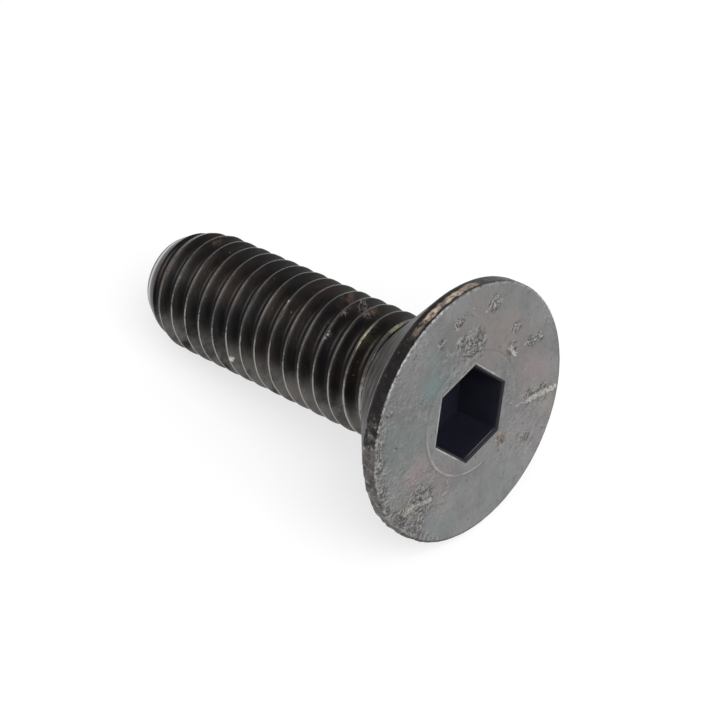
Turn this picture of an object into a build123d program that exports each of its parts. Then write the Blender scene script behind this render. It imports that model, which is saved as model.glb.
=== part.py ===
from build123d import *
import os
from math import atan2, ceil, degrees, radians, tan

# Countersunk socket screw, M8 x 25: flat head with a 90 degree cone, hexagon socket and a
# right-hand thread that runs up to the head. It is built upright, tip down, and then laid on
# the ground plane as it comes to rest: on the head's rim and on a crest near the tip.
# Lengths are in millimetres and angles in degrees. +X of the upright screw is its floor side.

# ---- Driving sizes -------------------------------------------------------------------------

# The whole screw
length = 25.0  # from the tip to the head face

# Thread
nominal_diameter = 8.0
crest_allowance = 0.16  # the crests stay this far under the nominal diameter
pitch = 1.25  # coarse series
thread_angle = 60.0  # between the two flanks of a groove
first_crest = 0.13  # height above the tip at which the crest crosses the floor side
neck_crest_diameter = 7.6  # over the last crest, where the thread runs out under the head
run_out = 1.6  # length of thread over which the crests fall off towards the neck

# Tip
tip_diameter = 5.8  # of the end face
tip_angle = 45.0  # whole angle of the chamfer cone

# Head
head_diameter = 16.0
cone_angle = 90.0  # whole angle of the countersunk cone
rim_height = 0.96  # straight rim between the cone and the head face
rim_chamfer = 0.16  # broken edge along both sides of the rim
disc_diameter = 7.7  # low disc that the heading punch leaves around the socket
disc_rise = 0.05

# Hexagon socket
hex_across_flats = 5.0
socket_depth = 3.1  # from the disc down to the flat floor
mouth_chamfer = 0.17  # broken edge around the mouth
socket_turn = 39.5  # from the floor side to the next corner, anticlockwise seen from the head

# How far a form is sunk into the one that carries it, and a cutter's edge stands clear
overlap = 0.15

# ---- Sizes that follow ---------------------------------------------------------------------

crest_radius = (nominal_diameter - crest_allowance) / 2
flank_slope = tan(radians(thread_angle / 2))
triangle_height = pitch / (2 * flank_slope)  # of the sharp thread triangle
root_radius = nominal_diameter / 2 - 17 / 24 * triangle_height
foot_radius = root_radius - overlap
foot_half = (crest_radius - foot_radius) * flank_slope

head_radius = head_diameter / 2
rim_bottom = length - rim_height
cone_run = tan(radians(cone_angle / 2))  # radius gained per unit of height along the cone
cone_bottom = rim_bottom - (head_radius - foot_radius) / cone_run
neck_crest_radius = neck_crest_diameter / 2
neck = rim_bottom - (head_radius - neck_crest_radius) / cone_run  # where crests meet the cone
fall = (crest_radius - neck_crest_radius) / run_out  # radius lost per unit of height

tip_run = tan(radians(tip_angle / 2))
tip_radius = tip_diameter / 2
chamfer_top = (crest_radius - tip_radius) / tip_run

disc_face = length + disc_rise

# Whole turns of thread, longer than the shank, which are trimmed to shape afterwards
thread_start = first_crest - 2 * pitch
turns = ceil((neck + pitch / 2 - thread_start) / pitch)
trim_top = neck + pitch
trim_radius = crest_radius + overlap

# ---- One turn of the thread: a sharp ridge on a right-hand helix -----------------------------

with BuildPart() as one_turn:
    with BuildLine() as helix:
        Helix(pitch, pitch, root_radius)
    with BuildSketch(Plane.XZ):
        with BuildLine():
            Polyline((foot_radius, -foot_half), (crest_radius, 0), (foot_radius, foot_half), close=True)
        make_face()
    sweep(path=helix.line, is_frenet=True)

# ---- The space of the socket: a hexagon, flared at its mouth ----------------------------------

with BuildPart() as socket:
    with BuildSketch(Plane.XY.offset(disc_face)):
        RegularPolygon(hex_across_flats / 2, 6, major_radius=False, rotation=socket_turn)
    extrude(amount=-socket_depth)
    with BuildSketch(Plane.XY.offset(disc_face)):
        Circle(head_radius)
    extrude(amount=overlap)
    mouth = socket.edges().filter_by(GeomType.LINE).filter_by_position(Axis.Z, disc_face, disc_face)
    chamfer(mouth, mouth_chamfer)

# ---- The screw, upright ----------------------------------------------------------------------

upper_side = Plane(origin=(0, 0, 0), x_dir=(-1, 0, 0), z_dir=(0, 1, 0))

with BuildPart() as upright_screw:
    # The thread, trimmed to the tip's chamfer below and to falling crests at the neck
    with Locations(*[(0, 0, thread_start + turn * pitch) for turn in range(turns)]):
        add(one_turn.part)
    with BuildSketch(Plane.YZ) as shank_half:
        with BuildLine():
            Polyline(
                (0, 0),
                (tip_radius, 0),
                (trim_radius, (trim_radius - tip_radius) / tip_run),
                (trim_radius, neck - (trim_radius - neck_crest_radius) / fall),
                (neck_crest_radius - (trim_top - neck) * fall, trim_top),
                (0, trim_top),
                close=True,
            )
        make_face()
    revolve(axis=Axis.Z, mode=Mode.INTERSECT)

    # Round bar at the root of the thread, inside the same outline
    with BuildSketch(Plane.YZ):
        add(shank_half.sketch_local)
        Rectangle(root_radius, trim_top, align=Align.MIN, mode=Mode.INTERSECT)
    revolve(axis=Axis.Z)

    # The head: cone, straight rim with both edges broken, and flat face. Its outline is drawn on
    # the side away from the floor, so that the seam of the rim is off the surface it rests on.
    with BuildSketch(upper_side):
        with BuildLine():
            Polyline(
                (0, cone_bottom),
                (foot_radius, cone_bottom),
                (head_radius, rim_bottom),
                (head_radius, length),
                (0, length),
                close=True,
            )
        head_half = make_face()
        chamfer(head_half.vertices().sort_by(Axis.X)[-2:], rim_chamfer)
    revolve(axis=Axis.Z)

    # The punch's disc, with a sloping edge, and the socket
    with BuildSketch(Plane.XY.offset(length)):
        Circle(disc_diameter / 2)
    extrude(amount=disc_rise, taper=45)
    add(socket.part, mode=Mode.SUBTRACT)

# ---- The screw at rest -----------------------------------------------------------------------

# The floor line touches the rim's lower corner and the first crest above the tip's chamfer
crests_in_chamfer = max(0, ceil((chamfer_top - first_crest) / pitch))
touching_crest = first_crest + crests_in_chamfer * pitch
tilt = atan2(head_radius - crest_radius, rim_bottom + rim_chamfer - touching_crest)

with BuildPart() as countersunk_screw:
    with Locations(Rotation(0, 90 - degrees(tilt), 0)):
        add(upright_screw.part)

box = countersunk_screw.part.bounding_box()
to_ground = Location((-box.center().X, -box.center().Y, -box.min.Z))
countersunk_screw.part = countersunk_screw.part.moved(to_ground)
countersunk_screw.part.label = "countersunk_screw"

os.makedirs("parts", exist_ok=True)
export_step(countersunk_screw.part, "parts/countersunk_screw.step")
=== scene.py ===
"""Countersunk socket screw, M8 x 25, in worn black-oxide steel, lying on a pale studio floor."""
import logging
from dataclasses import dataclass, field
from enum import Enum
from itertools import product
from math import atan2, ceil, cos, pi, radians, sin, tan
from typing import Union

import bmesh
import bpy
import numpy as np
from mathutils import Matrix, Vector


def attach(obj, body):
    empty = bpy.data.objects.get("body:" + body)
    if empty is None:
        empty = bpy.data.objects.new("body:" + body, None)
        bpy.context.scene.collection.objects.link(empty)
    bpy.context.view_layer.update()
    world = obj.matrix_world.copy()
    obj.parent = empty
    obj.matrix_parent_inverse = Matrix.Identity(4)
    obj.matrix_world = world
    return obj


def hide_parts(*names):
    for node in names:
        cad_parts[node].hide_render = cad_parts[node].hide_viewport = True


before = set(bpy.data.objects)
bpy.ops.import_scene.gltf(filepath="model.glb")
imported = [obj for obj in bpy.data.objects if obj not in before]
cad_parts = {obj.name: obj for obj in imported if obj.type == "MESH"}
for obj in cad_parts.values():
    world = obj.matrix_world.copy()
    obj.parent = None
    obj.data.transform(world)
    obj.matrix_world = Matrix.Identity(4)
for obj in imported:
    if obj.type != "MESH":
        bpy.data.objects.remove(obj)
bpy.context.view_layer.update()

LOG = logging.getLogger("countersunk_screw")
MM = 0.001
Number = float | np.ndarray
Triple = tuple[float, float, float]


class Zone(Enum):
    """The parts of the screw's surface that take a finish of their own."""

    THREAD = 0
    SEAT = 1
    HEAD = 2
    SOCKET = 3


# ---- Sizes ----


@dataclass(frozen=True)
class ScrewSizes:
    """Sizes of the upright screw, tip down, in millimetres and degrees."""

    length: float = 25.0
    crest_radius: float = 3.92
    root_radius: float = 3.2332
    pitch: float = 1.25
    flank_angle: float = 30.0
    crest_half: float = 0.075  # half the width of the crest's flat top
    first_crest: float = 0.13  # height above the tip at which the crest crosses the floor side
    neck_crest_radius: float = 3.8
    run_out: float = 1.6  # length over which the crests fall off towards the neck
    tip_radius: float = 2.86
    tip_half_angle: float = 29.0  # of the steep step at the end of the tip's chamfer
    lead_start: float = 1.1  # height at which the chamfer's longer, gentler part starts
    lead_slope: float = 0.3  # radius gained per unit of height along it
    lead_end: float = 2.6  # height at which the crests reach their full size
    head_radius: float = 8.0
    rim_height: float = 0.96
    disc_foot: float = 3.9  # radius of the low disc that the punch leaves around the socket
    disc_edge: float = 0.13  # how far its edge slopes in
    disc_rise: float = 0.05
    hex_half: float = 2.5
    hex_turn: float = 39.5  # from the floor side to the socket's next corner
    lip: float = 0.17  # rounded edge of the socket's mouth
    socket_depth: float = 3.1

    @property
    def rim_bottom(self) -> float:
        """Height at which the cone meets the straight rim."""
        return self.length - self.rim_height

    @property
    def neck(self) -> float:
        """Height at which the falling crests meet the cone."""
        return self.rim_bottom - (self.head_radius - self.neck_crest_radius)

    def cone(self, z: Number) -> Number:
        """Radius of the head's 90 degree cone at height z."""
        return self.head_radius - (self.rim_bottom - z)

    def around(self, columns: int) -> np.ndarray:
        """Angles from a corner of the socket right round to it again."""
        return radians(self.hex_turn) + 2.0 * pi * np.arange(columns + 1) / columns

    def caps(self) -> list[tuple[float, float]]:
        """Straight lines that the crests stay under.

        Returns:
            The slope of each and its radius at height zero.
        """
        fall = (self.crest_radius - self.neck_crest_radius) / self.run_out
        return [
            (tan(radians(self.tip_half_angle)), self.tip_radius),
            (self.lead_slope, self.crest_radius - self.lead_slope * self.lead_end),
            (0.0, self.crest_radius),
            (-fall, self.neck_crest_radius + fall * self.neck),
        ]

    def cap(self, z: np.ndarray) -> np.ndarray:
        """Greatest radius that the thread may have at height z."""
        return np.minimum.reduce([slope * z + start for slope, start in self.caps()])


# The height of the face and the radii of the rim and disc, for the wear and the finishes
FACE = ScrewSizes.length
RIM = ScrewSizes.head_radius
DISC = ScrewSizes.disc_foot


@dataclass(frozen=True)
class RestPose:
    """The lie of the screw: on the head's rim and on a crest near the tip."""

    tilt: float = atan2(4.08, 21.57)  # the rim stands out this far, this far from the crest
    tip: Triple = (-12.741277, 0.0, 3.363078)

    def place(self, points: np.ndarray) -> np.ndarray:
        """Lays points of the upright screw on the ground plane.

        Args:
            points: Rows of x, y and z in millimetres, tip down.

        Returns:
            The same rows in the frame, in metres.
        """
        s, c = sin(self.tilt), cos(self.tilt)
        turn = np.array([[s, 0.0, c], [0.0, 1.0, 0.0], [-c, 0.0, s]])
        return (points @ turn.T + np.array(self.tip)) * MM


def steps(start: Number, end: Number, count: int) -> list[Number]:
    """Values from start to end in equal steps, without the start."""
    return [start + (end - start) * n / count for n in range(1, count + 1)]


def rise(value: np.ndarray, start: float, run: float) -> np.ndarray:
    """Goes from 0 to 1 while the value passes from start to the end of the run."""
    return np.clip((value - start) / run, 0.0, 1.0)


def spun(radius: Number, height: Number, angles: np.ndarray) -> np.ndarray:
    """Points at a radius and a height, one at each angle."""
    x, y, z = np.broadcast_arrays(radius * np.cos(angles), radius * np.sin(angles), height)
    return np.stack([x, y, z], -1)


# ---- Wear in the metal ----


class LatticeNoise:
    """Smooth seeded noise, the same each time, for dents and battered edges."""

    SHIFT = 7.3  # between one layer and the next, so that they don't line up

    def __init__(self, seed: int, size: int = 64) -> None:
        """Fills the lattice.

        Args:
            seed: Seed of the lattice's values.
            size: Number of cells along each side before the pattern repeats.
        """
        self.size = size
        self.values = np.random.RandomState(seed).uniform(-1.0, 1.0, (size, size, size))

    def at(self, points: np.ndarray, cell: float) -> np.ndarray:
        """Noise at some points.

        Args:
            points: Rows of x, y and z.
            cell: Size of one cell of the pattern, in the points' unit.

        Returns:
            One value from -1 to 1 for each point.
        """
        scaled = points / cell
        low = np.floor(scaled).astype(int)
        part = scaled - low
        part = part * part * (3.0 - 2.0 * part)
        total = np.zeros(len(points))
        for corner in product((0, 1), repeat=3):
            weight = np.prod(np.where(corner, part, 1.0 - part), axis=1)
            i, j, k = ((low + corner) % self.size).T
            total += weight * self.values[i, j, k]
        return total

    def layered(self, points: np.ndarray, cell: float, layers: int = 3) -> np.ndarray:
        """Sum of ever finer noise, each layer half as strong as the one before."""
        return sum(self.at(points + self.SHIFT * n, cell / 2**n) / 2**n for n in range(layers))


@dataclass(frozen=True)
class Dent:
    """A battered spot on the face: a soft-edged ball that pushes the surface in unevenly."""

    x: float
    y: float
    reach: float
    depth: float
    grain: float
    soft: float = 0.625  # share of the reach over which its hold fades

    def mask(self, points: np.ndarray) -> np.ndarray:
        """How much the dent has hold of each point, from 0 to 1."""
        gap = np.linalg.norm(points - np.array([self.x, self.y, FACE]), axis=1)
        return rise(self.reach - gap, 0.0, self.soft * self.reach)


@dataclass(frozen=True)
class Scrape:
    """A band of fine scratches along a straight line on the head's face."""

    x: float
    y: float
    end_x: float
    end_y: float
    width: float
    most: float
    soft: float = 1.0 / 1.5  # share of the width over which its hold fades

    def mask(self, points: np.ndarray) -> np.ndarray:
        """How much the scrape has hold of each point.

        Args:
            points: Rows of x, y and z.

        Returns:
            One value for each, from 0 to the scrape's most.
        """
        start = np.array([self.x, self.y])
        run = np.array([self.end_x, self.end_y]) - start
        share = np.clip((points[:, :2] - start) @ run / (run @ run), 0.0, 1.0)
        gap = np.linalg.norm(points[:, :2] - start - share[:, None] * run, axis=1)
        return self.most * rise(self.width - gap, 0.0, self.soft * self.width)


@dataclass(frozen=True)
class Relief:
    """Uneven depth of a knock: noise about a middle, held between two limits."""

    middle: float
    swing: float
    least: float
    most: float

    def at(self, noise: np.ndarray) -> np.ndarray:
        """Depth for each value of the noise, as a share of the full depth."""
        return np.clip(self.middle + self.swing * noise, self.least, self.most)


@dataclass(frozen=True)
class HeadWear:
    """The knocks on the head's face and rim."""

    scrapes: tuple[Scrape, ...] = tuple(Scrape(*row) for row in (
        (1.16, 3.03, 1.77, 3.79, 0.21, 0.72), (1.84, 3.78, 2.19, 4.88, 0.25, 1.04),
        (2.1, 4.75, 2.63, 7.15, 0.39, 1.30), (3.23, -6.2, 3.08, -5.2, 0.32, 1.30),
        (3.04, -5.58, 3.54, -4.13, 0.30, 1.30), (4.7, -5.48, 4.17, -4.83, 0.18, 0.98),
        (-2.4, 3.82, -1.68, 4.14, 0.28, 1.37), (-3.18, 4.35, -3.48, 4.95, 0.18, 0.98),
        (-1.88, 5.01, -1.81, 5.34, 0.17, 1.17), (-1.61, 5.88, -1.57, 6.16, 0.17, 1.30),
        (-1.53, 6.44, -1.51, 6.61, 0.17, 1.30), (-5.94, 1.9, -5.79, 2.68, 0.17, 0.98),
        (-5.79, 2.68, -5.91, 3.56, 0.17, 1.04), (-5.87, 3.56, -5.1, 3.53, 0.17, 0.78),
        (-5.85, -1.68, -5.91, -1.09, 0.17, 0.91), (-6.75, -0.22, -6.1, 0.0, 0.17, 0.91),
        (-6.5, 0.92, -6.72, 1.4, 0.17, 0.78), (-4.96, -0.25, -4.82, 0.2, 0.17, 0.91),
        (-4.47, 0.25, -4.32, 0.76, 0.17, 0.91), (-4.11, 0.89, -3.57, 0.96, 0.17, 0.78),
        (4.28, 3.29, 4.54, 4.56, 0.18, 0.85), (3.2, 1.47, 3.28, 2.53, 0.23, 0.85),
        (-4.04, -6.24, -4.09, -5.93, 0.17, 1.30), (-2.4, -3.88, -2.63, -3.4, 0.17, 0.85),
        (-3.34, -3.79, -2.45, -2.78, 0.17, 0.78), (-2.03, 1.57, -1.18, 2.4, 0.17, 1.04),
        (-1.13, 3.22, 0.56, 3.54, 0.17, 0.78), (-4.48, 6.49, -2.39, 7.35, 0.25, 0.85),
    ))
    dents: tuple[Dent, ...] = tuple(Dent(*row) for row in (
        (3.1, -5.0, 1.45, 0.10, 0.34), (4.6, -5.5, 0.7, 0.08, 0.3), (3.3, -6.4, 0.9, 0.09, 0.3),
        (-2.2, 3.9, 0.6, 0.09, 0.25), (-3.4, 4.5, 0.5, 0.05, 0.25), (-1.6, 6.3, 0.45, 0.06, 0.25),
        (-1.7, 5.6, 0.5, 0.06, 0.25), (2.3, 6.0, 0.8, 0.05, 0.3), (1.9, 5.0, 0.7, 0.04, 0.3),
        (4.4, 4.1, 0.5, 0.04, 0.25), (3.2, 2.0, 0.6, 0.05, 0.25), (-6.0, 3.0, 0.7, 0.05, 0.25),
        (-6.4, 0.0, 0.55, 0.06, 0.25), (-5.0, -0.1, 0.45, 0.04, 0.2), (-5.9, -1.5, 0.4, 0.05, 0.2),
        (-4.4, 0.9, 1.3, 0.03, 0.3), (-1.6, -6.2, 0.22, 0.07, 0.15), (-4.1, -6.2, 0.35, 0.05, 0.2),
    ))
    dent_relief: Relief = Relief(0.5, 0.8, -0.12, 1.2)
    rim_from: float = -128.0  # the battered side of the rim, in degrees
    rim_to: float = -28.0
    rim_fade: float = 22.0
    rim_depth: float = 0.07
    rim_grain: float = 0.5
    rim_relief: Relief = Relief(0.35, 0.9, 0.0, 1.3)
    rim_reach: float = 0.95  # how far in from the rim it is battered
    rim_run: float = 0.75  # and over how much of that it sets in
    elsewhere: float = 0.12  # how battered the rest of the rim is
    elsewhere_reach: float = 0.4
    elsewhere_run: float = 0.3

    def rim_mask(self, points: np.ndarray) -> np.ndarray:
        """How battered the rim is at each point, strongest on one side.

        Args:
            points: Rows of x, y and z.

        Returns:
            One value for each, from 0 to 1.
        """
        angle = np.degrees(np.arctan2(points[:, 1], points[:, 0]))
        radius = np.hypot(points[:, 0], points[:, 1])
        side = rise(np.minimum(angle - self.rim_from, self.rim_to - angle), 0.0, self.rim_fade)
        rest = self.elsewhere * rise(radius, RIM - self.elsewhere_reach, self.elsewhere_run)
        return side * rise(radius, RIM - self.rim_reach, self.rim_run) + rest


# ---- The screw's mesh ----


@dataclass
class ScrewMesh:
    """Points, faces and zones of the screw while it is built upright."""

    rows: list[np.ndarray] = field(default_factory=list)
    faces: list[tuple[int, ...]] = field(default_factory=list)
    zones: list[int] = field(default_factory=list)
    marks: dict[str, list[np.ndarray]] = field(
        default_factory=lambda: {"crest": [], "worn": [], "scraped": []})
    count: int = 0

    def add_rows(
        self, grid: np.ndarray, crest: Number = 0.0, worn: Number = 0.0, scraped: Number = 0.0
    ) -> np.ndarray:
        """Takes in a grid of points.

        Args:
            grid: Points, as rows by columns by three.
            crest: Share of crest at each point.
            worn: How battered each point is.
            scraped: How scratched each point is.

        Returns:
            The number of each point, as rows by columns.
        """
        shape = grid.shape[:2]
        numbers = self.count + np.arange(shape[0] * shape[1]).reshape(shape)
        self.rows.append(grid.reshape(-1, 3))
        for kept, new in zip(self.marks.values(), (crest, worn, scraped)):
            kept.append((new + np.zeros(shape)).reshape(-1))
        self.count += numbers.size
        return numbers

    def skin(self, numbers: np.ndarray, zones: list[Zone], closed: bool) -> None:
        """Lays faces between neighbouring rows, with their outer side out.

        Args:
            numbers: Point numbers, as rows by columns, going up the screw.
            zones: Zone of the band above each row but the last.
            closed: Whether the last column joins the first.
        """
        if closed:
            numbers = np.hstack([numbers, numbers[:, :1]])
        for low, high, zone in zip(numbers, numbers[1:], zones):
            quads = np.stack([low[:-1], low[1:], high[1:], high[:-1]], 1)
            self.faces.extend(map(tuple, quads.tolist()))
            self.zones.extend([zone.value] * len(quads))

    def stitch(self, coarse: np.ndarray, fine: np.ndarray, zone: Zone) -> None:
        """Joins a ring to one with three times as many columns.

        Args:
            coarse: Point numbers of the coarser, lower ring, its first point repeated last.
            fine: Point numbers of the finer ring, its first point repeated last.
            zone: Zone of the faces between them.
        """
        for i, (a, b) in enumerate(zip(coarse.tolist(), coarse[1:].tolist())):
            c, d, e, f = fine[3 * i: 3 * i + 4].tolist()
            self.faces += [(a, d, c), (a, e, d), (a, b, e), (b, f, e)]
            self.zones += [zone.value] * 4


@dataclass(frozen=True)
class ThreadedShank:
    """The threaded bar, from the end face to the start of the head's cone."""

    sizes: ScrewSizes = ScrewSizes()
    columns: int = 144
    tip_round: float = 0.07
    end: float = 19.95
    bevel: float = 0.028  # of the crest's two edges
    face_rows: int = 4
    round_rows: int = 3
    root_swing: tuple[float, ...] = (-36.0, -12.0, 12.0, 36.0)  # along the rounded root
    lead_crest: float = 0.75  # share of crest on the gentler part of the tip's chamfer
    tip_crest: float = 0.1  # and of that on its steep step
    lead_margin: float = 0.02
    crest_wear: float = 0.022
    wear_cell: float = 1.1
    noise: LatticeNoise = LatticeNoise(11)

    def tip_rows(self, angles: np.ndarray) -> np.ndarray:
        """Rings of the flat end face and its rounded edge.

        Args:
            angles: Angles of the columns.

        Returns:
            Points, as rows by columns by three.
        """
        turn = radians(90.0 - self.sizes.tip_half_angle)
        flat = self.sizes.tip_radius - self.tip_round * tan(turn / 2.0)
        rings = [(0.0, 0.0)] + [(radius, 0.0) for radius in steps(0.0, flat, self.face_rows)]
        for bend in steps(0.0, turn, self.round_rows):
            rings.append((flat + self.tip_round * sin(bend), self.tip_round * (1.0 - cos(bend))))
        return np.stack([spun(radius, height, angles) for radius, height in rings])

    def ridge(self, angles: np.ndarray) -> tuple[np.ndarray, np.ndarray, np.ndarray]:
        """The thread before it is trimmed at its ends: a flat-topped ridge and a rounded root.

        Args:
            angles: Angles of the columns, over one whole turn.

        Returns:
            Heights, radii and shares of crest, as rows by columns.
        """
        s = self.sizes
        steep = 1.0 / tan(radians(s.flank_angle))
        half = s.pitch / 2.0
        bend = s.root_radius - s.crest_radius + (half - s.crest_half) * steep
        foot = (s.crest_radius - s.root_radius - bend / 2.0) / steep + s.crest_half
        turns = np.arange(-3, ceil(self.end / s.pitch) + 1)[:, None]
        middle = s.first_crest + s.pitch * (angles / (2.0 * pi) + turns)

        # The crest's flat top ends where a flank meets the lowest of the lines over it
        rising = s.crest_radius - steep * (middle - s.crest_half)
        falling = s.crest_radius + steep * (middle + s.crest_half)
        foot_low, foot_high = middle - foot, middle + foot
        low = np.minimum.reduce([(q - rising) / (steep - m) for m, q in s.caps()])
        high = np.maximum.reduce([(falling - q) / (steep + m) for m, q in s.caps()])
        low, high = np.maximum(low, foot_low), np.minimum(high, foot_high)
        room = np.minimum((high - low) / 4.0, np.abs(low - foot_low) / 2.0 + 1e-6)
        edge = np.minimum(self.bevel, room)

        # Up the lower flank, over the top with its bevelled edges, and down the upper flank
        stations = [foot_low + (low - foot_low) * share for share in (0.0, 0.3, 0.65)]
        stations += [low - edge, low + edge]
        stations += [low + (high - low) * share for share in (0.35, 0.65)]
        stations += [high - edge, high + edge]
        stations += [high + (foot_high - high) * share for share in (0.3, 0.65, 1.0)]
        on_top = [0.0] * 4 + [1.0] * 4 + [0.0] * (4 + len(self.root_swing))
        heights = np.stack(stations, 1)
        flanks = np.minimum(rising[:, None] + steep * heights, falling[:, None] - steep * heights)
        swing = np.radians(np.array(self.root_swing))[None, :, None]
        roots = (middle + half)[:, None] + bend * np.sin(swing)
        root_radius = s.root_radius + bend * (1.0 - np.cos(swing)) + 0.0 * roots
        radius = np.concatenate([np.minimum(flanks, s.crest_radius), root_radius], 1)
        heights = np.concatenate([heights, roots], 1)
        crest = np.array(on_top)[None, :, None] + 0.0 * heights
        flat = (-1, len(angles))
        return heights.reshape(flat), radius.reshape(flat), crest.reshape(flat)

    def thread_rows(self, angles: np.ndarray) -> tuple[np.ndarray, np.ndarray]:
        """Rings that follow the thread's roots, flanks and crests, trimmed and worn.

        Args:
            angles: Angles of the columns, over one whole turn.

        Returns:
            Points, as rows by columns by three, and the share of crest at each.
        """
        s = self.sizes
        heights, radius, crest = self.ridge(angles)
        start = self.tip_round * (1.0 - sin(radians(s.tip_half_angle)))
        heights = np.clip(heights, start, self.end)
        radius = np.minimum(radius, s.cap(heights))
        radius = np.where(heights <= start, s.cap(heights), radius)
        radius = np.where(heights >= self.end, 0.0, radius)
        bare = (s.cone(heights) > radius) | (heights <= start)
        radius = np.maximum(radius, s.cone(heights))
        crest = np.where(bare, 0.0, crest)
        crest[heights < s.lead_end - self.lead_margin] *= self.lead_crest
        crest[heights < s.lead_start] *= self.tip_crest
        points = spun(radius, heights, angles).reshape(-1, 3)
        rub = self.noise.layered(points, self.wear_cell).reshape(heights.shape)
        worn = crest * self.crest_wear * np.clip(rub, 0.0, 1.0)
        return spun(radius - worn, heights, angles), crest


Ring = tuple[Number, float, Zone]


@dataclass(frozen=True)
class FlatHead:
    """The countersunk head: cone, rim, face, the punch's disc and the key socket."""

    sizes: ScrewSizes = ScrewSizes()
    columns: int = 432
    start: float = 19.95
    low_round: float = 0.32  # radius of the rim's lower edge
    high_round: float = 0.17  # and of its upper edge
    cone_rows: int = 13
    low_rows: int = 5
    rim_rows: int = 4
    high_rows: int = 6
    face_rows: int = 34
    disc_rows: int = 8
    lip_rows: int = 5
    spread: tuple[float, ...] = (0.06, -0.04, -0.06, 0.27, 0.28, 0.0)  # of the socket's walls
    edge_shares: tuple[float, ...] = (0.25, 0.6, 1.0)  # rings along the disc's edge
    wall_shares: tuple[float, ...] = (0.2, 0.5, 0.8, 1.0)  # down the socket's walls
    floor_shares: tuple[float, ...] = (0.66, 0.33, 0.0)  # and in over its floor
    least_cosine: float = 0.1  # keeps a wall's outline finite on the far side
    scraped_skin: float = 0.2  # scrapes reach no further down from the face than this
    sound_cone: float = 0.3  # height of the cone, from its start, that is never knocked
    sound_mouth: float = 0.7  # and width around the socket
    wear: HeadWear = HeadWear()
    noise: LatticeNoise = LatticeNoise(5)

    def angles(self) -> np.ndarray:
        """Angles of the columns, with a column on every corner of the socket."""
        return self.sizes.around(self.columns)[:-1]

    def hexagon(self, half: float) -> np.ndarray:
        """Outline of the socket, with its walls spread by use.

        Args:
            half: Half its width across flats, before it was spread.

        Returns:
            Its radius at each column.
        """
        across = [radians(self.sizes.hex_turn - 30.0 + 60.0 * n) for n in range(6)]
        facing = [np.maximum(np.cos(self.angles() - turn), self.least_cosine) for turn in across]
        return np.minimum.reduce([(half + out) / face for face, out in zip(facing, self.spread)])

    def outside(self) -> list[Ring]:
        """Rings up the cone and rim and in over the face.

        Returns:
            Radius, height and zone of each.
        """
        s = self.sizes
        run = self.low_round * tan(pi / 8.0)
        low, rim_end = s.rim_bottom + run, s.length - self.high_round
        cone_end = s.rim_bottom - run * sin(pi / 4.0)
        heights = steps(self.start, cone_end, self.cone_rows)
        rings = [(float(s.cone(z)), z, Zone.SEAT) for z in heights]
        for bend in steps(pi / 4.0, 0.0, self.low_rows):
            radius = s.head_radius - self.low_round * (1.0 - cos(bend))
            rings.append((radius, low - self.low_round * sin(bend), Zone.HEAD))
        rings += [(s.head_radius, z, Zone.HEAD) for z in steps(low, rim_end, self.rim_rows)]
        for bend in steps(0.0, pi / 2.0, self.high_rows):
            radius = s.head_radius - self.high_round * (1.0 - cos(bend))
            rings.append((radius, rim_end + self.high_round * sin(bend), Zone.HEAD))
        across = steps(s.head_radius - self.high_round, s.disc_foot, self.face_rows)
        rings += [(radius, s.length, Zone.HEAD) for radius in across]
        for share in self.edge_shares:
            height = s.length + s.disc_rise * share
            rings.append((s.disc_foot - s.disc_edge * share, height, Zone.HEAD))
        return rings

    def inside(self, start: float) -> list[Ring]:
        """Rings over the punch's disc, round the lip and down into the socket.

        Args:
            start: Radius of the disc's flat top.

        Returns:
            Radius, height and zone of each.
        """
        s = self.sizes
        top = s.length + s.disc_rise
        mouth, wall = self.hexagon(s.hex_half + s.lip), self.hexagon(s.hex_half)
        rings = [(radius, top, Zone.HEAD) for radius in steps(start, mouth, self.disc_rows)]
        for bend in steps(0.0, pi / 2.0, self.lip_rows):
            radius = self.hexagon(s.hex_half + s.lip * (1.0 - sin(bend)))
            rings.append((radius, top - s.lip * (1.0 - cos(bend)), Zone.SOCKET))
        for share in self.wall_shares:
            height = top - s.lip - (s.socket_depth - s.lip) * share
            rings.append((wall, height, Zone.SOCKET))
        floor = top - s.socket_depth
        return rings + [(share * wall, floor, Zone.SOCKET) for share in self.floor_shares]

    def rows(self) -> tuple[np.ndarray, list[Zone], np.ndarray, np.ndarray, np.ndarray]:
        """All rings of the head.

        Returns:
            Points, as rows by columns by three, the zone below each row, and how battered,
            how scraped and how near the socket's brink each point is.
        """
        rings = self.outside()
        rings += self.inside(rings[-1][0])
        zones = [zone for _, _, zone in rings]
        grid = [spun(radius, height, self.angles()) for radius, height, _ in rings]
        points, worn = self.battered(np.stack(grid))
        flat = points.reshape(-1, 3)
        scraped = np.maximum.reduce([scrape.mask(flat) for scrape in self.wear.scrapes])
        scraped = scraped * (flat[:, 2] > self.sizes.length - self.scraped_skin)
        brink = np.zeros(worn.shape)
        brink[zones.index(Zone.SOCKET) - 1] = 1.0
        return points, zones, worn, scraped.reshape(worn.shape), brink

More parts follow.
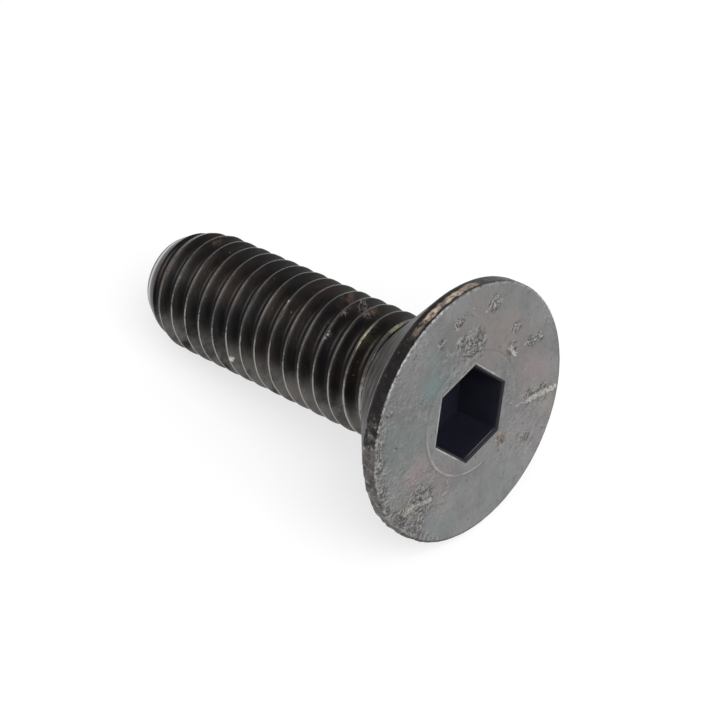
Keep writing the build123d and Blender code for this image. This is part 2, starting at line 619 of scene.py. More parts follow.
    def battered(self, grid: np.ndarray) -> tuple[np.ndarray, np.ndarray]:
        """Pushes the surface in where the head is knocked.

        Args:
            grid: Points, as rows by columns by three.

        Returns:
            The moved points, in the same order, and how battered each is.
        """
        around = np.roll(grid, -1, axis=1) - np.roll(grid, 1, axis=1)
        normal = np.cross(around, np.gradient(grid, axis=0))
        size = np.linalg.norm(normal, axis=2, keepdims=True)
        normal = (normal / np.where(size > 0.0, size, 1.0)).reshape(-1, 3)
        points = grid.reshape(-1, 3)
        wear = self.wear
        worn = wear.rim_mask(points)
        rough = wear.rim_relief.at(self.noise.layered(points, wear.rim_grain))
        push = wear.rim_depth * worn * rough
        for dent in wear.dents:
            hold = dent.mask(points)
            rough = wear.dent_relief.at(self.noise.layered(points, dent.grain, 2))
            push += dent.depth * hold * rough
            worn = np.maximum(worn, hold)
        radius = np.hypot(points[:, 0], points[:, 1])
        open_air = points[:, 2] > self.start + self.sound_cone
        open_air &= radius > self.sizes.hex_half + self.sound_mouth
        points = points - normal * (push * open_air)[:, None]
        return points.reshape(grid.shape), (worn * open_air).reshape(grid.shape[:2])


@dataclass
class CountersunkScrew:
    """The whole screw as one closed piece, laid at rest on the ground plane."""

    sizes: ScrewSizes = ScrewSizes()
    pose: RestPose = RestPose()
    name: str = "countersunk_screw_body"
    smooth_angle: float = 32.0
    merge: float = 2e-6  # points nearer than this become one, in metres
    sliver: float = 1e-7

    def build(self, finishes: list[bpy.types.Material]) -> bpy.types.Object:
        """Makes the screw's mesh and object.

        Args:
            finishes: One material for each zone, in the zones' order.

        Returns:
            The screw, at rest.
        """
        mesh = ScrewMesh()
        shank, head = ThreadedShank(self.sizes), FlatHead(self.sizes)
        angles = self.sizes.around(shank.columns)
        tip = mesh.add_rows(shank.tip_rows(angles))
        lower = np.vstack([tip, mesh.add_rows(*shank.thread_rows(angles))])
        mesh.skin(lower, [Zone.THREAD] * (len(lower) - 1), closed=False)
        head_grid, zones, worn, scraped, brink = head.rows()
        upper = mesh.add_rows(head_grid, brink, worn, scraped)
        mesh.stitch(lower[-1], np.append(upper[0], upper[0][0]), zones[0])
        mesh.skin(upper, zones[1:], closed=True)
        return self.finish(mesh, finishes)

    def finish(self, mesh: ScrewMesh, finishes: list[bpy.types.Material]) -> bpy.types.Object:
        """Turns the collected rows into a clean Blender object.

        Args:
            mesh: The collected points and faces.
            finishes: One material for each zone.

        Returns:
            The screw's object.
        """
        data = bpy.data.meshes.new(self.name)
        data.from_pydata(self.pose.place(np.vstack(mesh.rows)).tolist(), [], mesh.faces)
        for material in finishes:
            data.materials.append(material)
        data.polygons.foreach_set("material_index", mesh.zones)
        for name, parts in mesh.marks.items():
            carried = data.attributes.new(name, "FLOAT", "POINT")
            carried.data.foreach_set("value", np.concatenate(parts))
        clean = bmesh.new()
        clean.from_mesh(data)
        bmesh.ops.remove_doubles(clean, verts=clean.verts, dist=self.merge)
        bmesh.ops.dissolve_degenerate(clean, edges=clean.edges, dist=self.sliver)
        loose = [point for point in clean.verts if not point.link_faces]
        bmesh.ops.delete(clean, geom=loose, context="VERTS")
        bmesh.ops.recalc_face_normals(clean, faces=clean.faces)
        clean.to_mesh(data)
        clean.free()
        data.polygons.foreach_set("use_smooth", [True] * len(data.polygons))
        data.set_sharp_from_angle(angle=radians(self.smooth_angle))
        screw = bpy.data.objects.new(self.name, data)
        bpy.context.scene.collection.objects.link(screw)
        return screw


# ---- Finishes ----

Socket = bpy.types.NodeSocket
Source = Union["Wire", float, Triple]


class Wire:
    """What a node gives out over the surface. Arithmetic with it adds the nodes for it."""

    def __init__(self, graph: "Graph", socket: Socket) -> None:
        """Takes hold of a node's output."""
        self.graph, self.socket = graph, socket

    def reckon(self, task: str, other: Source = 0.0) -> "Wire":
        """The result of a maths node that takes this first and the other second."""
        return self.graph.wire("ShaderNodeMath", {0: self, 1: other}, operation=task)

    def __add__(self, other: Source) -> "Wire":
        """This plus the other."""
        return self.reckon("ADD", other)

    def __sub__(self, other: Source) -> "Wire":
        """This less the other."""
        return self.reckon("SUBTRACT", other)

    def __rsub__(self, other: float) -> "Wire":
        """The other less this."""
        return self * -1.0 + other

    def __mul__(self, other: Source) -> "Wire":
        """This times the other."""
        return self.reckon("MULTIPLY", other)

    def __truediv__(self, other: Source) -> "Wire":
        """This over the other."""
        return self.reckon("DIVIDE", other)

    def __abs__(self) -> "Wire":
        """This without its sign."""
        return self.reckon("ABSOLUTE")

    def root(self) -> "Wire":
        """The square root of this."""
        return self.reckon("SQRT")

    def greater(self, other: Source) -> "Wire":
        """The greater of this and the other."""
        return self.reckon("MAXIMUM", other)

    def stirred(self, noise: "Wire", reach: float) -> "Wire":
        """This, moved up and down by a noise from 0 to 1."""
        return self + (noise - 0.5) * reach


class Graph:
    """A tree of nodes, with short names for those that are used often."""

    FIRST, SECOND, MIXED = 6, 7, 2  # the colour sockets of a Mix node

    def __init__(self, tree: bpy.types.NodeTree) -> None:
        """Takes hold of a node tree."""
        self.tree = tree

    def fill(self, node: bpy.types.Node, plugs: dict[int | str, Source]) -> None:
        """Plugs wires into a node's inputs, or sets numbers, places and colours there.

        Args:
            node: The node.
            plugs: What goes into which of its inputs.
        """
        for key, source in plugs.items():
            target = node.inputs[key]
            if isinstance(source, Wire):
                self.tree.links.new(source.socket, target)
            elif target.type == "RGBA":
                target.default_value = (*source, 1.0)
            else:
                target.default_value = source

    def wire(
        self, kind: str, plugs: dict[int | str, Source], give: int | str = 0, **options: str
    ) -> Wire:
        """Adds a node.

        Args:
            kind: Blender's name for it.
            plugs: What goes into which of its inputs.
            give: The output that is wanted.
            options: Its other settings.

        Returns:
            That output.
        """
        node = self.tree.nodes.new(kind)
        for name, choice in options.items():
            setattr(node, name, choice)
        self.fill(node, plugs)
        return Wire(self, node.outputs[give])

    def ramp(self, source: Wire, low: float, high: float, most: float = 1.0) -> Wire:
        """A soft step from 0 to its most while the source goes from low to high."""
        plugs = {"Value": source, "From Min": low, "From Max": high, "To Max": most}
        return self.wire("ShaderNodeMapRange", plugs, interpolation_type="SMOOTHSTEP")

    def mix(self, share: Source, first: Source, second: Source) -> Wire:
        """The first colour with a share of the second laid over it."""
        plugs = {0: share, self.FIRST: first, self.SECOND: second}
        return self.wire("ShaderNodeMix", plugs, self.MIXED, data_type="RGBA")


@dataclass(frozen=True)
class Spot:
    """A soft round patch in a finish: its middle, how far it reaches and its strength there."""

    x: float
    y: float
    z: float
    reach: float
    most: float = 1.0


class FinishGraph(Graph):
    """The nodes of one steel finish, whose patterns lie in the upright screw's axes."""

    LIT_X, LIT_Y = -0.94, -0.33  # the side from which small lumps look lit
    LUMP_CONTRAST = 7.0

    def __init__(self, name: str, pose: RestPose, metallic: float) -> None:
        """Starts a material.

        Args:
            name: Name of the material.
            pose: Lie of the screw, which the pattern follows.
            metallic: Share of bare metal in the finish.
        """
        self.material = bpy.data.materials.new(name)
        self.material.use_nodes = True
        super().__init__(self.material.node_tree)
        self.shader = self.tree.nodes["Principled BSDF"]
        self.fill(self.shader, {"Metallic": metallic})
        self.place = self.wire("ShaderNodeMapping", {
            "Vector": self.wire("ShaderNodeTexCoord", {}, "Object"),
            "Location": Vector(pose.tip) * MM,
            "Rotation": (0.0, pi / 2.0 - pose.tilt, 0.0),
            "Scale": (MM, MM, MM),
        }, vector_type="TEXTURE")
        self.x, self.y, self.z = (
            self.wire("ShaderNodeSeparateXYZ", {0: self.place}, axis) for axis in "XYZ")
        self.radius = (self.x * self.x + self.y * self.y).root()

    def stretched(self, along: Triple, turn: float = 0.0) -> Wire:
        """The place, turned about the screw's axis and scaled along each side.

        Args:
            along: Scale along x, y and z.
            turn: Angle in degrees.

        Returns:
            The new place.
        """
        plugs = {"Vector": self.place, "Rotation": (0.0, 0.0, radians(turn))}
        turned = self.wire("ShaderNodeMapping", plugs)
        return self.wire("ShaderNodeVectorMath", {0: turned, 1: along}, operation="MULTIPLY")

    def round_about(self, around: float, radial: float, axial: float) -> Wire:
        """A place for streaks that run round the axis.

        Args:
            around: How fast the pattern changes round the axis.
            radial: How fast it changes with the radius, per millimetre.
            axial: How fast it changes along the axis, per millimetre.

        Returns:
            The place.
        """
        across = [side / self.radius * around for side in (self.x, self.y)]
        run = self.radius * radial + self.z * axial
        return self.wire("ShaderNodeCombineXYZ", {0: across[0], 1: across[1], 2: run})

    def noise(
        self, scale: float, detail: float = 3.0, sharp: float = 0.5, warp: float = 0.0,
        place: Wire | None = None,
    ) -> Wire:
        """Cloudy noise from 0 to 1.

        Args:
            scale: Cells per unit of place.
            detail: Number of finer layers.
            sharp: Strength of each finer layer.
            warp: How far the pattern is twisted out of shape.
            place: Where it is taken, if not at the point of the surface.

        Returns:
            The noise.
        """
        plugs = {"Vector": place or self.place, "Scale": scale, "Detail": detail}
        plugs.update({"Roughness": sharp, "Distortion": warp})
        return self.wire("ShaderNodeTexNoise", plugs, "Fac")

    def line(self, source: Wire, middle: float, half: float, most: float = 1.0) -> Wire:
        """A thin band where the source is within half of the middle, strongest at the middle."""
        return self.ramp(abs(source - middle), half, 0.3 * half, most)

    def toward(self, facing: float, low: float, high: float) -> Wire:
        """A soft step on the side that faces an angle in degrees, from a low to a high cosine."""
        along = self.x * cos(radians(facing)) + self.y * sin(radians(facing))
        return self.ramp(along / self.radius, low, high)

    def embossed(self, scale: float, warp: float, reach: float) -> Wire:
        """The lit and the shaded sides of small lumps.

        Args:
            scale: Lumps per millimetre.
            warp: How far their pattern is twisted out of shape.
            reach: Distance over which a side spreads, in millimetres.

        Returns:
            Above zero on the lit side, and below zero on the other.
        """
        shift = (self.LIT_X * reach, self.LIT_Y * reach, 0.0)
        beyond = self.wire("ShaderNodeVectorMath", {0: self.place, 1: shift})
        here, there = (self.noise(scale, 4.0, 0.6, warp, place) for place in (None, beyond))
        return (here - there) * self.LUMP_CONTRAST

    def painted(self, name: str) -> Wire:
        """A number that the mesh carries at each of its points."""
        return self.wire("ShaderNodeAttribute", {}, "Fac", attribute_name=name)

    def patch(self, spot: Spot, ragged: Wire) -> Wire:
        """A soft round patch.

        Args:
            spot: Its place, reach and strength.
            ragged: Noise that breaks up its edge.

        Returns:
            Its strength at each point.
        """
        plugs = {0: self.place, 1: (spot.x, spot.y, spot.z)}
        gap = self.wire("ShaderNodeVectorMath", plugs, "Value", operation="DISTANCE")
        gap = gap.stirred(ragged, 1.6 * spot.reach)
        return self.ramp(gap, spot.reach, 0.25 * spot.reach, spot.most)

    def layered(self, colour: Source, *layers: tuple[Wire, Triple]) -> Source:
        """Lays more colours over a first one, in order.

        Args:
            colour: The first colour.
            layers: Share and colour of each layer.

        Returns:
            The layered colour.
        """
        for share, ink in layers:
            colour = self.mix(share, colour, ink)
        return colour

    def spotted(
        self, colour: Source, ink: Triple, spots: tuple[Spot, ...], ragged: Wire,
        share: Source = 1.0,
    ) -> Source:
        """Lays soft patches of one colour over another.

        Args:
            colour: Colour underneath.
            ink: Colour of the patches.
            spots: The patches.
            ragged: Noise that breaks up their edges.
            share: How much of them shows.

        Returns:
            The spotted colour.
        """
        return self.layered(colour, *((self.patch(spot, ragged) * share, ink) for spot in spots))

    def relief(self, height: Wire, strength: float, step: float) -> Wire:
        """The surface's direction over a fine relief, whose height of one is a step in mm."""
        plugs = {"Height": height, "Strength": strength, "Distance": step * MM}
        return self.wire("ShaderNodeBump", plugs)

    def done(self, colour: Source, roughness: Wire, relief: Wire) -> bpy.types.Material:
        """The material, with its patterns plugged into the shader."""
        self.fill(self.shader, {"Base Color": colour, "Roughness": roughness, "Normal": relief})
        return self.material


@dataclass(frozen=True)
class HeadFinish:
    """Machined face and rim: grey oxide with faint heat colours, scratches and bruises, with
    painted highlights, painted shade and a painted reflection.
    """

    grey: Triple = (0.235, 0.237, 0.235)
    shade: Triple = (0.175, 0.176, 0.178)
    # Dark of pits and cracks, also used for painted shade
    pit_and_painted_shade: Triple = (0.09, 0.083, 0.078)
    # Light of scratches, also used for the painted highlight on lumps
    scratch_and_painted_highlight: Triple = (0.36, 0.36, 0.355)
    bruise: Triple = (0.105, 0.09, 0.078)
    rust: Triple = (0.24, 0.17, 0.125)
    # Light of bare flakes, also used for painted highlights
    flake_and_painted_highlight: Triple = (0.6, 0.585, 0.55)
    rim: Triple = (0.024, 0.02, 0.023)
    rim_grey: Triple = (0.044, 0.038, 0.037)
    rim_rubbed: Triple = (0.14, 0.13, 0.124)
    # Light of nicks in the rim, also used for the painted highlight along the face's edge
    edge: Triple = (0.42, 0.41, 0.4)
    painted_gold_reflection: Triple = (0.7, 0.57, 0.43)
    gold_reflection_spots: tuple[Spot, ...] = (
        Spot(-7.9, -1.4, FACE - 0.4, 1.3), Spot(-8.0, 0.0, FACE - 0.4, 1.1),
        Spot(-7.8, 1.5, FACE - 0.4, 0.9, 0.5), Spot(-7.5, -2.8, FACE - 0.4, 0.8, 0.4),
    )
    rusty: tuple[Spot, ...] = tuple(Spot(x, y, FACE, reach, 0.7) for x, y, reach in (
        (-2.3, 3.6, 0.45), (2.35, 6.75, 0.5), (3.2, 2.2, 0.5), (-6.5, 0.0, 0.45), (3.0, -5.9, 0.8),
    ))
    tints: tuple[tuple[float, float, float, float, Triple], ...] = (  # x, y, reach, most, colour
        (-3.5, -2.8, 1.3, 0.65, (0.16, 0.26, 0.25)), (-4.6, -1.6, 2.2, 0.6, (0.18, 0.235, 0.23)),
        (-1.4, -5.6, 2.6, 0.6, (0.175, 0.225, 0.212)), (5.6, -3.6, 2.2, 0.5, (0.19, 0.235, 0.225)),
        (-5.6, 4.2, 2.0, 0.4, (0.2, 0.225, 0.205)), (6.6, 1.5, 2.4, 0.45, (0.205, 0.235, 0.23)),
        (-3.4, 3.6, 2.2, 0.55, (0.27, 0.212, 0.218)), (0.6, 5.4, 2.2, 0.6, (0.28, 0.215, 0.218)),
        (3.8, 4.6, 2.2, 0.5, (0.265, 0.215, 0.23)), (2.8, -3.4, 1.8, 0.55, (0.275, 0.218, 0.222)),
        (1.2, -4.6, 1.5, 0.5, (0.27, 0.215, 0.218)), (-6.4, 1.6, 2.0, 0.45, (0.24, 0.215, 0.22)),
        (-4.4, 1.6, 3.6, 0.6, (0.225, 0.205, 0.192)), (-2.0, 4.6, 2.4, 0.5, (0.225, 0.205, 0.195)),
        (2.2, -4.6, 2.4, 0.5, (0.205, 0.192, 0.184)),
        # The next two, with a reach of 5, are painted shade over one side of the face and painted
        # light over the other
        (-3.6, -5.6, 5.0, 0.45, (0.165, 0.168, 0.168)),
        (4.6, 3.6, 5.0, 0.4, (0.275, 0.265, 0.266)), (-5.7, -0.8, 1.9, 0.65, (0.165, 0.16, 0.158)),
        (1.1, -5.0, 1.5, 0.6, (0.3, 0.248, 0.252)), (4.7, -3.1, 1.3, 0.55, (0.29, 0.258, 0.26)),
        (3.0, 6.2, 1.5, 0.5, (0.3, 0.273, 0.252)),
    )
    hairlines: tuple[tuple[float, float], ...] = ((18.0, 0.6), (-34.0, 0.63), (75.0, 0.62))

    def face(self, g: FinishGraph, ragged: Wire, grain: Wire, creases: Wire) -> Source:
        """Colour of the sound face.

        Args:
            g: The material's nodes.
            ragged: Noise that breaks the edges of patches.
            grain: Fine noise.
            creases: Fine raised lines.

        Returns:
            The colour.
        """
        colour = g.mix(g.ramp(g.noise(0.45, 4.0, 0.55), 0.35, 0.7), self.grey, self.shade)
        for x, y, reach, most, tint in self.tints:
            colour = g.spotted(colour, tint, (Spot(x, y, FACE, reach, most),), ragged)
        for turn, low in self.hairlines:
            fine_lines = g.noise(1.0, 2.0, place=g.stretched((0.35, 9.0, 1.0), turn))
            colour = g.mix(g.ramp(fine_lines, low, low + 0.12, 0.2), colour, self.scratch_and_painted_highlight)
        cracks = g.line(g.noise(0.9, 6.0, 0.7, 1.5), 0.47, 0.012)
        pits = g.noise(3.2, 2.0)
        # A painted highlight along the disc's edge, stronger on one side, with a line of painted
        # shade just outside it
        arc = g.line(g.radius, DISC - 0.13, 0.075) * g.ramp(ragged, 0.3, 0.6)
        arc_side = g.toward(-42.0, 0.4, 0.75) * 0.36 + 0.08
        # A painted highlight along the brink of the socket, on one side only
        brink = g.ramp(g.painted("crest"), 0.25, 0.8) * g.toward(220.0, -0.4, 0.0)
        return g.layered(
            colour,
            (g.ramp(grain, 0.5, 0.72, 0.4), self.shade),
            (creases * 0.5, self.scratch_and_painted_highlight),
            (cracks * g.ramp(ragged, 0.42, 0.6, 0.6), self.pit_and_painted_shade),
            (g.ramp(pits, 0.66, 0.74, 0.55), self.pit_and_painted_shade),
            (arc * arc_side, self.flake_and_painted_highlight),
            (g.line(g.radius, DISC + 0.01, 0.07, 0.2), self.pit_and_painted_shade),
            (brink * g.ramp(ragged, 0.3, 0.55, 0.85), self.flake_and_painted_highlight),
        )

    def side(self, g: FinishGraph, ragged: Wire, worn: Wire) -> Source:
        """Colour of the straight rim and its rounded edges.

        Args:
            g: The material's nodes.
            ragged: Noise that breaks the edges of patches.
            worn: How battered the rim is.

        Returns:
            The colour.
        """
        mottle = g.noise(1.7, 4.0, 0.65)
        streaky = g.noise(1.0, 4.0, 0.7, place=g.round_about(14.0, 2.0, 3.4))
        nicks = g.noise(3.4, 3.0, 0.6) + worn * 0.07
        high = g.z.stirred(mottle, 0.5)
        band = g.ramp(high, FACE - 0.7, FACE - 0.55) * g.ramp(high, FACE - 0.15, FACE - 0.3)
        colour = g.layered(
            self.rim,
            (g.ramp(mottle, 0.48, 0.66), self.rim_grey),
            (g.ramp(worn.stirred(mottle, 2.4), 0.6, 1.2), self.rim_rubbed),
        )
        # A painted gold reflection in a band high on the rim, on one side
        warm = band * g.ramp(streaky, 0.32, 0.54)
        colour = g.spotted(colour, self.painted_gold_reflection, self.gold_reflection_spots, ragged, warm)
        return g.mix(g.ramp(nicks, 0.67, 0.75, 0.6), colour, self.edge)

    def material(self, pose: RestPose) -> bpy.types.Material:
        """Makes the material.

        Args:
            pose: Lie of the screw.

        Returns:
            The material.
        """
        g = FinishGraph("head_steel", pose, 0.9)
        ragged = g.noise(0.8, 4.0, 0.6)
        grain = g.noise(7.0, 3.0, 0.6)
        coarse = g.noise(1.5, 4.0, 0.6, 0.8)
        fine = g.noise(4.6, 3.0, 0.6)
        worn, scraped = g.painted("worn"), g.painted("scraped")
        rough_place = g.ramp(g.noise(0.3, 2.0), 0.42, 0.6)
        creases = g.line(g.noise(1.3, 5.0, 0.65, 1.2), 0.5, 0.03) * rough_place

        # Lumps with a painted highlight on one side and painted shade on the other, and torn metal
        # in the scrapes
        uneven = rough_place * 0.22 + 0.12
        lumps = g.embossed(1.6, 1.0, 0.14) * (worn * 1.6 + uneven)
        lumps = lumps + g.embossed(4.2, 0.5, 0.06) * (worn * 0.5 + uneven)
        streaks = g.noise(1.0, 5.0, 0.85, place=g.stretched((7.0, 4.5, 1.0), 22.0))
        torn = g.ramp(scraped.stirred(streaks, 5.0), 0.8, 1.3) * g.ramp(scraped, 0.05, 0.5)
        face = g.layered(
            self.face(g, ragged, grain, creases),
            (g.ramp(worn.stirred(fine, 1.4), 0.2, 1.0, 0.6), self.bruise),
            (g.ramp(lumps, -0.05, -0.8, 0.85), self.pit_and_painted_shade),
            (g.ramp(lumps, 0.05, 0.8, 0.75), self.scratch_and_painted_highlight),
        )
        face = g.layered(
            g.spotted(face, self.rust, self.rusty, ragged),
            (g.line(coarse, 0.45, 0.04) * g.ramp(worn, 0.1, 0.6, 0.7), self.pit_and_painted_shade),
            (g.line(coarse, 0.5, 0.035) * g.ramp(worn, 0.1, 0.7, 0.8), self.scratch_and_painted_highlight),
            (g.ramp(worn.stirred(fine, 3.0), 1.35, 1.7, 0.6), self.flake_and_painted_highlight),
            (torn * 0.9, self.flake_and_painted_highlight),
        )

        # The rim below the face, and the edge between them: painted shade along the edge on one
        # side, and a painted highlight along it elsewhere
        below = g.ramp(g.z.stirred(fine, 0.14), FACE - 0.05, FACE - 0.13)
        far = g.toward(15.0, -0.1, 0.4)
        rubbed_and_painted_highlight = g.ramp(g.radius, RIM - 0.2, RIM - 0.13) * g.ramp(g.z, FACE - 0.11, FACE - 0.05)
        rubbed_and_painted_highlight = rubbed_and_painted_highlight * (1.0 - far) * g.ramp(fine, 0.4, 0.64, 0.75)
        colour = g.layered(
            g.mix(below, face, self.side(g, ragged, worn)),
            (g.ramp(g.radius, RIM - 0.21, RIM - 0.14) * far * 0.8, self.rim_grey),
            (rubbed_and_painted_highlight, self.edge),
        )
        relief = grain * 0.15 + fine * 0.3 + coarse * (rough_place + 0.3) + creases * 0.35 + torn
        relief = relief + (fine + g.line(coarse, 0.5, 0.06)) * (worn * 0.9)
        return g.done(colour, ragged * 0.18 + grain * 0.1 + 0.3, g.relief(relief, 0.9, 0.1))


@dataclass(frozen=True)
class ThreadFinish:
    """Oily black thread with worn crests and a little rust, a painted highlight on the tip and a
    painted reflection of the floor on its low side.
    """

    black: Triple = (0.014, 0.013, 0.013)
    brown: Triple = (0.027, 0.019, 0.016)
    drawn: Triple = (0.045, 0.042, 0.04)
    crest: Triple = (0.1, 0.097, 0.09)
    bright: Triple = (0.34, 0.33, 0.31)
    rust: Triple = (0.115, 0.07, 0.054)
    dirt: Triple = (0.4, 0.38, 0.25)
    dust: Triple = (0.27, 0.24, 0.225)
    painted_tip_highlight: Triple = (0.48, 0.48, 0.49)
    painted_floor_reflection: Triple = (0.155, 0.146, 0.138)
    nick: Triple = (0.62, 0.6, 0.56)
    rusty: tuple[Spot, ...] = (
        Spot(-3.8, 0.7, 16.9, 1.0), Spot(-3.8, 0.8, 12.8, 1.0), Spot(-3.7, 0.9, 3.2, 0.7),
        Spot(-3.6, 1.2, 14.6, 0.8), Spot(-3.7, 0.2, 15.4, 0.8),
    )
    dusted: tuple[Spot, ...] = (
        Spot(-3.75, 1.1, 16.3, 0.8), Spot(-3.9, 0.45, 17.1, 0.7),
        Spot(-3.9, -0.3, 15.9, 0.5), Spot(-3.32, -2.08, 15.9, 0.4),
    )
    oily: tuple[Spot, ...] = (Spot(-3.9, 0.4, 19.4, 1.1), Spot(-3.7, -1.2, 18.5, 1.3))
    nicks: tuple[Spot, ...] = (Spot(0.41, -3.9, 8.8, 0.3), Spot(-3.71, -1.28, 12.0, 0.14))

    def material(self, pose: RestPose) -> bpy.types.Material:
        """Makes the material.

        Args:
            pose: Lie of the screw.

        Returns:
            The material.
        """
        g = FinishGraph("thread_steel", pose, 0.85)
        cloud = g.noise(0.5, 4.0, 0.6)
        ragged = g.noise(1.6, 5.0, 0.7)
        streak = g.noise(1.0, 3.0, 0.55, place=g.round_about(2.2, 9.0, 9.0))
        grain = g.noise(6.0, 3.0, 0.6)
        crest = g.painted("crest")
        colour = g.layered(
            self.black,
            (g.ramp(cloud, 0.42, 0.68, 0.8), self.brown),
            (g.ramp(streak, 0.5, 0.72, 0.3), self.drawn),
        )
        colour = g.spotted(colour, self.rust, self.rusty, cloud, g.ramp(ragged, 0.42, 0.62, 0.75))
        colour = g.spotted(colour, self.dust, self.dusted, cloud, g.ramp(grain, 0.45, 0.62, 0.7))

        # A painted highlight on the tip's chamfer, a painted reflection of the floor low on one
        # side, and the rubbed crests
        start = g.ramp(g.z, 0.7, 0.5) * g.ramp(g.z, 0.15, 0.35) * g.toward(-138.0, 0.45, 0.85)
        # The low side is made lighter: a painted reflection of the floor
        low_side = g.toward(-52.0, 0.55, 0.95) * g.ramp(cloud, 0.3, 0.6, 0.85)
        rubbed_and_painted_highlight = crest.stirred(cloud, 0.9).stirred(grain, 0.8)
        colour = g.layered(
            colour,
            (start, self.painted_tip_highlight),
            (low_side * g.ramp(g.radius, 2.95, 3.15), self.painted_floor_reflection),
            (g.ramp(rubbed_and_painted_highlight, 0.5, 1.05), self.crest),
        )
        soiled = (g.ramp(crest, 0.0, 0.6) * 0.8 + 0.12) * g.ramp(grain, 0.3, 0.55)
        colour = g.spotted(colour, self.dirt, self.oily, cloud, soiled)
        # Crests are made lighter still where most rubbed, and more so on the low side, where this
        # is a painted reflection of the floor
        bright = rubbed_and_painted_highlight + g.toward(-62.0, 0.3, 0.9) * 0.45
        colour = g.mix(g.ramp(bright, 1.12, 1.4, 0.8), colour, self.bright)
        colour = g.spotted(colour, self.nick, self.nicks, grain)
        specks = g.ramp(g.noise(3.6, 2.0), 0.74, 0.8, 0.5)
        colour = g.mix(specks, colour, self.dirt)
        relief = g.relief(streak + grain * 0.6, 0.35, 0.02)
        return g.done(colour, cloud * 0.2 + streak * 0.12 + 0.2, relief)


@dataclass(frozen=True)
class SeatFinish:
    """The countersunk cone, with fine turned streaks."""

    dark: Triple = (0.03, 0.028, 0.028)
    grey: Triple = (0.085, 0.083, 0.082)
    light: Triple = (0.41, 0.405, 0.395)
    brown: Triple = (0.08, 0.062, 0.052)
    marks: tuple[Triple, ...] = (  # height, half width and strength of each turned mark
        (20.15, 0.13, 0.85), (20.55, 0.08, 0.95), (21.3, 0.13, 0.5), (21.75, 0.09, 0.95),
        (22.55, 0.11, 0.55), (22.85, 0.07, 0.8), (23.4, 0.06, 0.6), (23.86, 0.06, 0.95),
    )

    def material(self, pose: RestPose) -> bpy.types.Material:
        """Makes the material.

        Args:
            pose: Lie of the screw.

        Returns:
            The material.
        """
        g = FinishGraph("seat_steel", pose, 0.55)
        streak = g.noise(1.0, 3.0, 0.6, place=g.round_about(0.9, 1.0, 1.0))
        fine = g.noise(1.0, 3.0, 0.6, place=g.round_about(1.6, 3.4, 3.4))
        broken = g.noise(1.0, 4.0, 0.65, place=g.round_about(5.0, 1.6, 1.6))
        cloud = g.noise(0.9, 4.0, 0.6)
        wavy = g.z.stirred(streak, 0.3)
        # The turned marks show more strongly on one side
        gaps = g.ramp(broken, 0.38, 0.62) * (g.toward(-105.0, 0.2, 0.9) * 0.6 + 0.75)
        # Lighter low on the cone, towards the neck, on one side
        lighter_low_side = g.ramp(g.z, 21.3, 20.5) * g.toward(-98.0, 0.72, 0.97)
        edge = g.ramp(g.radius, RIM - 0.28, RIM - 0.16) * g.ramp(broken, 0.35, 0.6, 0.8)
        marks = [(g.line(wavy, *mark) * gaps, self.light) for mark in self.marks]
        colour = g.layered(
            self.dark,
            (g.ramp(fine, 0.4, 0.66), self.grey),
            *marks,
            (g.ramp(cloud, 0.5, 0.75, 0.6), self.brown),
            (lighter_low_side * g.ramp(fine, 0.36, 0.6, 0.75), self.light),
            (edge, self.light),
        )
        return g.done(colour, streak * 0.2 + 0.42, g.relief(streak + broken * 0.5, 0.5, 0.05))


@dataclass(frozen=True)
class SocketFinish:
    """The key socket: black oxide, with painted highlights along the brink of its lip."""

    black: Triple = (0.008, 0.008, 0.018)
    wall: Triple = (0.01, 0.01, 0.021)
    lip: Triple = (0.004, 0.004, 0.008)
    rubbed_and_painted_highlight: Triple = (0.3, 0.3, 0.29)

    def material(self, pose: RestPose) -> bpy.types.Material:
        """Makes the material.

        Args:
            pose: Lie of the screw.

        Returns:
            The material.
        """
        g = FinishGraph("socket_steel", pose, 0.25)
        cloud = g.noise(1.4, 4.0, 0.6)
        broach = g.noise(1.0, place=g.stretched((3.0, 3.0, 0.4)))
        # Painted highlights: a line where the lip meets the wall on one side, and along the brink
        # on another
        seam = g.line(g.z, FACE - 0.13, 0.035) * g.toward(10.0, 0.84, 0.95) * 0.7
        brink = g.ramp(g.painted("crest"), 0.2, 0.8) * g.toward(220.0, -0.4, 0.0)
        colour = g.layered(
            self.black,
            (g.ramp(broach, 0.45, 0.7), self.wall),
            (g.ramp(g.z, FACE - 0.14, FACE - 0.08), self.lip),
            (seam.greater(brink * g.ramp(cloud, 0.35, 0.6)), self.rubbed_and_painted_highlight),
        )
        return g.done(colour, cloud * 0.2 + 0.45, g.relief(broach, 0.3, 0.02))


FINISHES = {
    Zone.THREAD: ThreadFinish(),
    Zone.SEAT: SeatFinish(),
    Zone.HEAD: HeadFinish(),
    Zone.SOCKET: SocketFinish(),
}


# ---- Studio ----


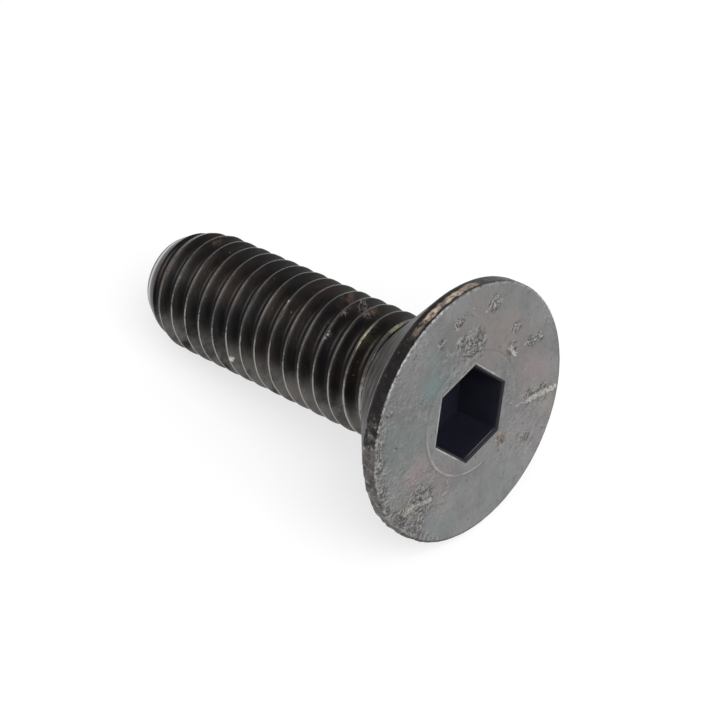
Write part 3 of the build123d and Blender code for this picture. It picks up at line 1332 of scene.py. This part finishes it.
@dataclass(frozen=True)
class Studio:
    """Pale floor, one soft lamp, an even surround and the camera."""

    floor_half: float = 1.5
    floor_colour: Triple = (0.34, 0.34, 0.34)
    floor_roughness: float = 0.9
    floor_glow: float = 0.68  # what is added to the floor's colour where a viewer sees it
    lamp_place: Triple = (0.3, -0.1, 0.4)
    lamp_size: float = 0.35
    lamp_power: float = 2.0
    horizon: Triple = (0.85, 0.85, 0.85)
    zenith: Triple = (0.45, 0.45, 0.45)
    sky_low: float = 0.1  # how high the horizon's colour starts to change
    sky_high: float = 0.8  # and how high the zenith's is reached
    focal: float = 103.93
    sensor: float = 36.0
    nearest: float = 0.005
    eye: Triple = (0.064279, -0.0652666, 0.0925899)
    right: Triple = (0.7294603, 0.6840232, 0.0)
    up: Triple = (-0.4741559, 0.5056523, 0.720758)
    back: Triple = (0.4930152, -0.5257643, 0.6931868)

    def stand(self, name: str, data: bpy.types.ID) -> bpy.types.Object:
        """Puts an object into the scene.

        Args:
            name: Its name.
            data: Its mesh, light or camera.

        Returns:
            The object.
        """
        placed = bpy.data.objects.new(name, data)
        bpy.context.scene.collection.objects.link(placed)
        return placed

    def floor(self) -> bpy.types.Object:
        """Lays the floor.

        Returns:
            The floor.
        """
        half = self.floor_half
        corners = [(-half, -half, 0.0), (half, -half, 0.0), (half, half, 0.0), (-half, half, 0.0)]
        data = bpy.data.meshes.new("studio_floor")
        data.from_pydata(corners, [], [(0, 1, 2, 3)])
        made = bpy.data.materials.new("pale_floor")
        made.use_nodes = True
        g = Graph(made.node_tree)
        rays = ("Is Camera Ray", "Is Glossy Ray", "Is Transmission Ray")
        seen, glossy, through = (g.wire("ShaderNodeLightPath", {}, ray) for ray in rays)
        g.fill(g.tree.nodes["Principled BSDF"], {
            "Base Color": self.floor_colour,
            "Roughness": self.floor_roughness,
            "Specular IOR Level": 0.0,
            "Emission Color": (1.0, 1.0, 1.0),
            "Emission Strength": seen.greater(glossy).greater(through) * self.floor_glow,
        })
        data.materials.append(made)
        return self.stand("studio_floor", data)

    def lamp(self) -> None:
        """Hangs one soft square lamp that faces the screw."""
        data = bpy.data.lights.new("key_lamp", "AREA")
        data.size = self.lamp_size
        data.energy = self.lamp_power
        lamp = self.stand("key_lamp", data)
        lamp.location = self.lamp_place
        lamp.rotation_euler = (-Vector(self.lamp_place)).to_track_quat("-Z", "Y").to_euler()

    def surround(self) -> None:
        """Sets the even light that comes from all round."""
        world = bpy.data.worlds.new("studio_surround")
        world.use_nodes = True
        g = Graph(world.node_tree)
        where = g.wire("ShaderNodeTexCoord", {}, "Generated")
        height = g.wire("ShaderNodeSeparateXYZ", {0: where}, "Z")
        sky = g.mix(g.ramp(height, self.sky_low, self.sky_high), self.horizon, self.zenith)
        g.fill(g.tree.nodes["Background"], {"Color": sky})
        bpy.context.scene.world = world

    def camera(self) -> None:
        """Places the camera."""
        data = bpy.data.cameras.new("camera")
        data.lens = self.focal
        data.sensor_width = self.sensor
        data.clip_start = self.nearest
        camera = self.stand("camera", data)
        turn = Matrix((self.right, self.up, self.back)).transposed().to_4x4()
        camera.matrix_world = Matrix.Translation(self.eye) @ turn
        bpy.context.scene.camera = camera


def main() -> None:
    """Builds the studio and the screw."""
    logging.basicConfig(level=logging.INFO)
    bpy.context.scene.view_settings.view_transform = "Standard"
    studio = Studio()
    studio.camera()
    studio.surround()
    studio.lamp()
    floor = studio.floor()
    pose = RestPose()
    finishes = [FINISHES[zone].material(pose) for zone in Zone]
    screw = CountersunkScrew(pose=pose).build(finishes)
    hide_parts("countersunk_screw")
    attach(screw, "root")
    LOG.info("piece %s: %d faces", screw.name, len(screw.data.polygons))


if __name__ == "__main__":
    main()
